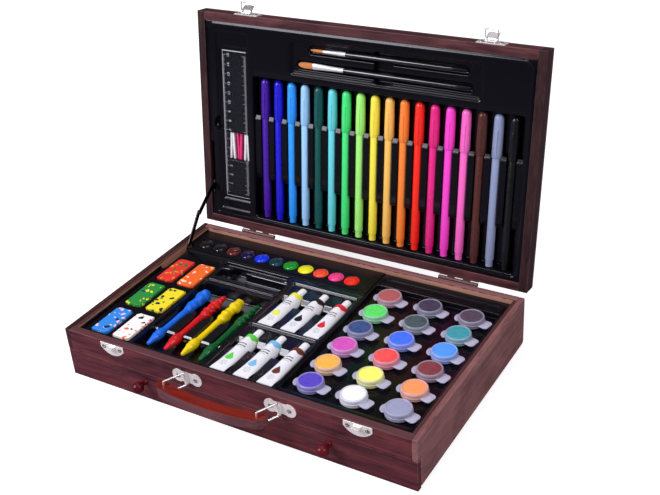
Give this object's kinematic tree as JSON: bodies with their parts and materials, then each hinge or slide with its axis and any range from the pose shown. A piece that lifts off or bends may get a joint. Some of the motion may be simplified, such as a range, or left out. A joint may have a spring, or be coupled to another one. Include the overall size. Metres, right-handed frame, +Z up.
{
  "type": "wooden art supply case",
  "caption": "Shallow wooden case with a stayed hinged lid, a drawer, a swinging handle, draw latches and black formed trays holding markers, paints, crayons, erasers, brushes and a ruler.",
  "frame": {"origin": "middle of the case's footprint, on the table under the bottom board", "axes": "+X to the right along the case's width, +Y to the hinged rear side, +Z up; the handle is at -Y"},
  "size_m": [0.375, 0.314, 0.2971],
  "materials": {
    "mahogany": "reddish brown stain, satin varnish, worn edges",
    "mahogany_side": "lighter reddish stain, satin varnish",
    "raw_wood": "unfinished light wood",
    "drawer_wood": "unfinished light wood",
    "knob_wood": "turned, dark red varnish",
    "tray_plastic": "formed sheet, glossy black",
    "pan_paint": "pressed watercolour, eleven colours in a row",
    "eraser_rubber": "speckled, six colours",
    "crayon_wax": "moulded wax, four colours",
    "tube_plastic": "white with a coloured band",
    "cap_white": "smooth",
    "pot_plastic": "milky clear",
    "pot_paint": "liquid paint, eighteen colours",
    "nickel": "thin nickel plating",
    "hinge_metal": "dark antique brown",
    "pin_steel": "plain",
    "stay_black": "black with a brown sheen",
    "grip_leather": "reddish brown, polished top",
    "marker_plastic": "eighteen colours in a row",
    "brush_black": "lacquer",
    "ferrule": "polished",
    "bristle": "orange brown hair",
    "ruler_clear": "clear plastic with printed ticks",
    "peg_paint": "painted wood"
  },
  "bodies": {
    "case": {"case_front_board": "mahogany", "case_left_board": "mahogany", "case_right_board": "mahogany_side", "case_rear_board": "mahogany", "case_left_liner": "raw_wood", "case_right_liner": "raw_wood", "case_shelf": "raw_wood", "case_bottom": "raw_wood", "palette_tray": "tray_plastic", "eraser_tray": "tray_plastic", "crayon_tray": "tray_plastic", "tube_tray": "tray_plastic", "pot_tray": "tray_plastic", "watercolour_pans": "pan_paint", "erasers": "eraser_rubber", "figure_crayons": "crayon_wax", "paint_tubes": "tube_plastic", "tube_caps": "cap_white", "pot_cups": "pot_plastic", "pot_paint": "pot_paint", "pot_lids": "pot_plastic", "catch_plates": "nickel", "handle_plates": "nickel", "case_screws": "nickel", "hinge_case_leaves": "hinge_metal", "hinge_pins": "pin_steel", "stay_case_pin": "hinge_metal"},
    "drawer": {"drawer_front": "mahogany", "drawer_sides": "drawer_wood", "drawer_back": "drawer_wood", "drawer_bottom": "drawer_wood", "drawer_knobs": "knob_wood"},
    "lid": {"lid_panel": "mahogany", "lid_front_rail": "mahogany", "lid_rear_rail": "mahogany", "lid_left_rail": "mahogany", "lid_right_rail": "mahogany", "lid_tray": "tray_plastic", "marker_barrels": "marker_plastic", "marker_caps": "marker_plastic", "brush_handles": "brush_black", "brush_ferrules": "ferrule", "brush_bristles": "bristle", "ruler": "ruler_clear", "mini_pegs": "peg_paint", "latch_plates": "nickel", "lid_screws": "nickel", "hinge_lid_leaves": "hinge_metal", "stay_lid_pin": "hinge_metal"},
    "stay_lower": {"stay_lower_link": "stay_black"},
    "stay_upper": {"stay_upper_link": "stay_black"},
    "bail_left": {"handle_bail_left": "nickel"},
    "bail_right": {"handle_bail_right": "nickel"},
    "grip": {"handle_grip": "grip_leather"},
    "lever_left": {"latch_lever_left": "nickel"},
    "lever_right": {"latch_lever_right": "nickel"},
    "loop_left": {"latch_loop_left": "nickel"},
    "loop_right": {"latch_loop_right": "nickel"}
  },
  "joints": [
    {"name": "drawer_slide", "type": "slide", "parent": "case", "child": "drawer", "axis": [0, -1, 0], "range_m": [0, 0.15]},
    {"name": "lid_hinge", "type": "hinge", "parent": "case", "child": "lid", "pos_m": [0, 0.11835, 0.0532], "axis": [1, 0, 0], "range_deg": [0, 97.7]},
    {"name": "stay_lower_turn", "type": "hinge", "parent": "case", "child": "stay_lower", "pos_m": [-0.178, 0.0705, 0.0468], "axis": [1, 0, 0], "range_deg": [0, 125.48]},
    {"name": "stay_upper_turn", "type": "hinge", "parent": "lid", "child": "stay_upper", "pos_m": [-0.1767, 0.12861, 0.1007], "axis": [1, 0, 0], "range_deg": [-122.15, 0]},
    {"name": "handle_swing", "type": "hinge", "parent": "case", "child": "bail_left", "pos_m": [-0.0415, -0.1177, 0.0424], "axis": [0, 0, 1], "range_deg": [-33, 87]},
    {"name": "bail_right_turn", "type": "hinge", "parent": "case", "child": "bail_right", "pos_m": [0.0577, -0.1177, 0.0424], "axis": [0, 0, 1], "range_deg": [-33, 87]},
    {"name": "grip_turn", "type": "hinge", "parent": "bail_left", "child": "grip", "pos_m": [-0.05131, -0.13695, 0.0424], "axis": [0, 0, 1], "range_deg": [-87, 33]},
    {"name": "lever_left_turn", "type": "hinge", "parent": "lid", "child": "lever_left", "pos_m": [-0.1284, 0.15292, 0.28652], "axis": [-1, 0, 0], "range_deg": [-70, 30]},
    {"name": "loop_left_turn", "type": "hinge", "parent": "lever_left", "child": "loop_left", "pos_m": [-0.1284, 0.15419, 0.28791], "axis": [1, 0, 0], "range_deg": [0, 112]},
    {"name": "lever_right_turn", "type": "hinge", "parent": "lid", "child": "lever_right", "pos_m": [0.1336, 0.15292, 0.28652], "axis": [-1, 0, 0], "range_deg": [-70, 30]},
    {"name": "loop_right_turn", "type": "hinge", "parent": "lever_right", "child": "loop_right", "pos_m": [0.1336, 0.15419, 0.28791], "axis": [1, 0, 0], "range_deg": [0, 112]}
  ],
  "couplings": [
    {"joint": "stay_lower_turn", "follows": "lid_hinge", "ratio": 1.2833},
    {"joint": "stay_upper_turn", "follows": "lid_hinge", "ratio": -1.2492},
    {"joint": "bail_right_turn", "follows": "handle_swing", "ratio": 1},
    {"joint": "grip_turn", "follows": "handle_swing", "ratio": -1}
  ]
}
